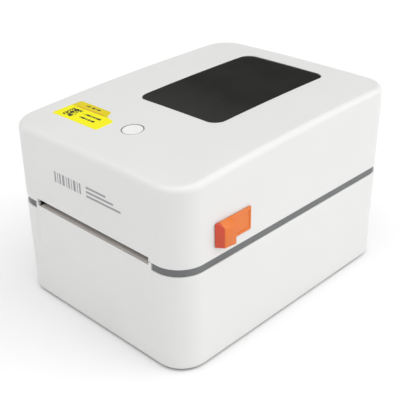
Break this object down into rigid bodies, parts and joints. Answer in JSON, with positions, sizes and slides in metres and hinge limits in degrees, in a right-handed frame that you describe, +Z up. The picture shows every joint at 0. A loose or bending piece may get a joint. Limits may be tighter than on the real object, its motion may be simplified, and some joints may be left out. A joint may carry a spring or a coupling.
{
  "type": "thermal label printer",
  "caption": "Desktop direct-thermal label printer: white clamshell case with a grey band, a smoked window in a hinged lid, side latches, and a driven platen.",
  "frame": {"origin": "centre of the footprint, on the surface that the rubber feet stand on", "axes": "+Z up, -Y towards the front face with the label slot, +X to the printer's right-hand side as seen from the front"},
  "size_m": [0.186, 0.228, 0.1449],
  "materials": {
    "white_abs": "fine satin moulded ABS",
    "band_grey": "fine-textured grey ABS",
    "dark_plastic": "textured dark plastic",
    "smoked_window": "smoked acrylic, polished",
    "latch_orange": "satin orange moulded plastic",
    "rubber_foot": "matt",
    "platen_rubber": "ground matt",
    "steel": "bright drawn",
    "zinc_screw": "zinc plated",
    "gear_nylon": "natural nylon",
    "brass_pinion": "machined",
    "board_green": "solder mask on glass epoxy",
    "head_aluminium": "extruded, sawn ends",
    "head_ceramic": "glazed ceramic strip",
    "sticker_yellow": "coated paper",
    "mark_grey": "printed grey ink",
    "ring_grey": "translucent grey plastic"
  },
  "bodies": {
    "base": {"base_housing": "white_abs", "front_panel": "white_abs", "front_ears": "white_abs", "bottom_cover": "dark_plastic", "rubber_feet": "rubber_foot", "case_screws": "zinc_screw", "chassis": "band_grey", "hinge_pins": "steel", "tear_bar": "steel", "catch_leaves": "steel", "paper_guide": "dark_plastic", "label_sensor": "dark_plastic", "platen_bushings": "gear_nylon", "gear_plate": "steel", "idler_stud": "steel", "stepper_motor": "steel", "guide_rail_cover": "band_grey", "main_board": "board_green", "data_socket": "steel", "power_jack": "dark_plastic", "switch_frame": "dark_plastic"},
    "platen": {"platen_roller": "platen_rubber", "platen_shaft": "steel", "platen_gear": "gear_nylon"},
    "idler": {"idler_gear": "gear_nylon"},
    "motor_rotor": {"motor_shaft": "steel", "motor_pinion": "brass_pinion"},
    "guide_l": {"guide_left": "dark_plastic"},
    "guide_r": {"guide_right": "dark_plastic"},
    "hub_l": {"guide_hub_left": "gear_nylon"},
    "hub_r": {"guide_hub_right": "gear_nylon"},
    "centring_pinion": {"guide_pinion": "gear_nylon"},
    "rocker": {"power_rocker": "dark_plastic"},
    "lid": {"lid_shell": "white_abs", "lid_window": "smoked_window", "lid_liner": "dark_plastic", "front_mark": "mark_grey", "setup_sticker": "sticker_yellow", "button_ring": "ring_grey", "button_board": "board_green", "head_mount": "band_grey", "head_pivot": "steel", "head_springs": "steel", "lid_screws": "zinc_screw", "latch_spring_left": "steel", "latch_spring_right": "steel"},
    "button": {"feed_button": "white_abs"},
    "latch_l": {"latch_left": "latch_orange"},
    "latch_r": {"latch_right": "latch_orange"},
    "print_head": {"head_bracket": "head_aluminium", "head_strip": "head_ceramic"}
  },
  "joints": [
    {"name": "lid_hinge", "type": "hinge", "parent": "base", "child": "lid", "pos_m": [0, 0.1106, 0.08415], "axis": [-1, 0, 0], "range_deg": [0, 90], "deforming": ["catch_leaves"]},
    {"name": "latch_left_slide", "type": "slide", "parent": "lid", "child": "latch_l", "axis": [0, -1, 0], "range_m": [0, 0.004], "stiffness_N_per_m": 400, "springref_m": -0.003, "deforming": ["latch_spring_left"]},
    {"name": "latch_right_slide", "type": "slide", "parent": "lid", "child": "latch_r", "axis": [0, -1, 0], "range_m": [0, 0.004], "stiffness_N_per_m": 400, "springref_m": -0.003, "deforming": ["latch_spring_right"]},
    {"name": "button_press", "type": "slide", "parent": "lid", "child": "button", "axis": [0, 0, -1], "range_m": [0, 0.0008], "stiffness_N_per_m": 1200, "springref_m": -0.0008},
    {"name": "head_tilt", "type": "hinge", "parent": "lid", "child": "print_head", "pos_m": [0, -0.08, 0.093], "axis": [-1, 0, 0], "range_deg": [0, 4], "stiffness_Nm_per_rad": 2, "springref_deg": -8.59, "deforming": ["head_springs"]},
    {"name": "platen_spin", "type": "hinge", "parent": "base", "child": "platen", "pos_m": [0, -0.096, 0.0715], "axis": [1, 0, 0], "continuous": true},
    {"name": "idler_spin", "type": "hinge", "parent": "base", "child": "idler", "pos_m": [0, -0.0875, 0.05678], "axis": [1, 0, 0], "continuous": true},
    {"name": "motor_spin", "type": "hinge", "parent": "base", "child": "motor_rotor", "pos_m": [0, -0.0875, 0.03578], "axis": [1, 0, 0], "continuous": true},
    {"name": "guide_left_slide", "type": "slide", "parent": "base", "child": "guide_l", "axis": [1, 0, 0], "range_m": [0, 0.039]},
    {"name": "guide_right_slide", "type": "slide", "parent": "base", "child": "guide_r", "axis": [-1, 0, 0], "range_m": [0, 0.039]},
    {"name": "centring_spin", "type": "hinge", "parent": "base", "child": "centring_pinion", "pos_m": [0, 0.015, 0.01], "axis": [0, 0, 1], "range_deg": [0, 280]},
    {"name": "hub_left_spin", "type": "hinge", "parent": "guide_l", "child": "hub_l", "pos_m": [-0.0598, 0.015, 0.0656], "axis": [1, 0, 0], "continuous": true},
    {"name": "hub_right_spin", "type": "hinge", "parent": "guide_r", "child": "hub_r", "pos_m": [0.0598, 0.015, 0.0656], "axis": [1, 0, 0], "continuous": true},
    {"name": "power_rock", "type": "hinge", "parent": "base", "child": "rocker", "pos_m": [-0.048, 0.1108, 0.0295], "axis": [1, 0, 0], "range_deg": [0, 16]}
  ],
  "couplings": [
    {"joint": "idler_spin", "follows": "platen_spin", "ratio": -1.4286},
    {"joint": "motor_spin", "follows": "platen_spin", "ratio": 3.5714},
    {"joint": "guide_right_slide", "follows": "guide_left_slide", "ratio": 1},
    {"joint": "centring_spin", "follows": "guide_left_slide", "rad_per_m": 125}
  ]
}
